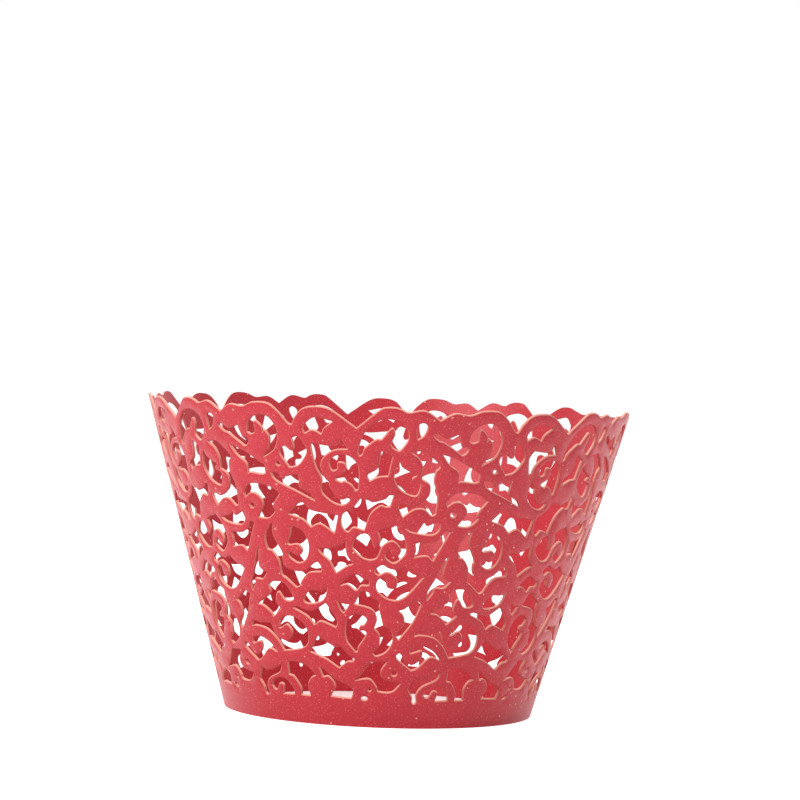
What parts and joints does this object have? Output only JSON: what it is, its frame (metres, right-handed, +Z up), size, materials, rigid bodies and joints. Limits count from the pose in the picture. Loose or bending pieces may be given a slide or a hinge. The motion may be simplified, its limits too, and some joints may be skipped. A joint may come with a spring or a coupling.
{
  "type": "cupcake wrapper",
  "caption": "Tapered cupcake wrapper: one band of card laser-cut with a scroll filigree and a scalloped rim, rolled into an open cone and lapped at one side.",
  "frame": {"origin": "middle of the foot circle, on the surface the wrapper stands on", "axes": "+Z up through the open mouth; the front faces -Y and +X is to the right; the lap is at the right side, just behind the outline"},
  "size_m": [0.08, 0.0798, 0.0514],
  "materials": {
    "pearl_card": "pearlescent red card with a soft satin sheen"
  },
  "bodies": {
    "root": {"wrapper": "pearl_card"}
  },
  "joints": []
}
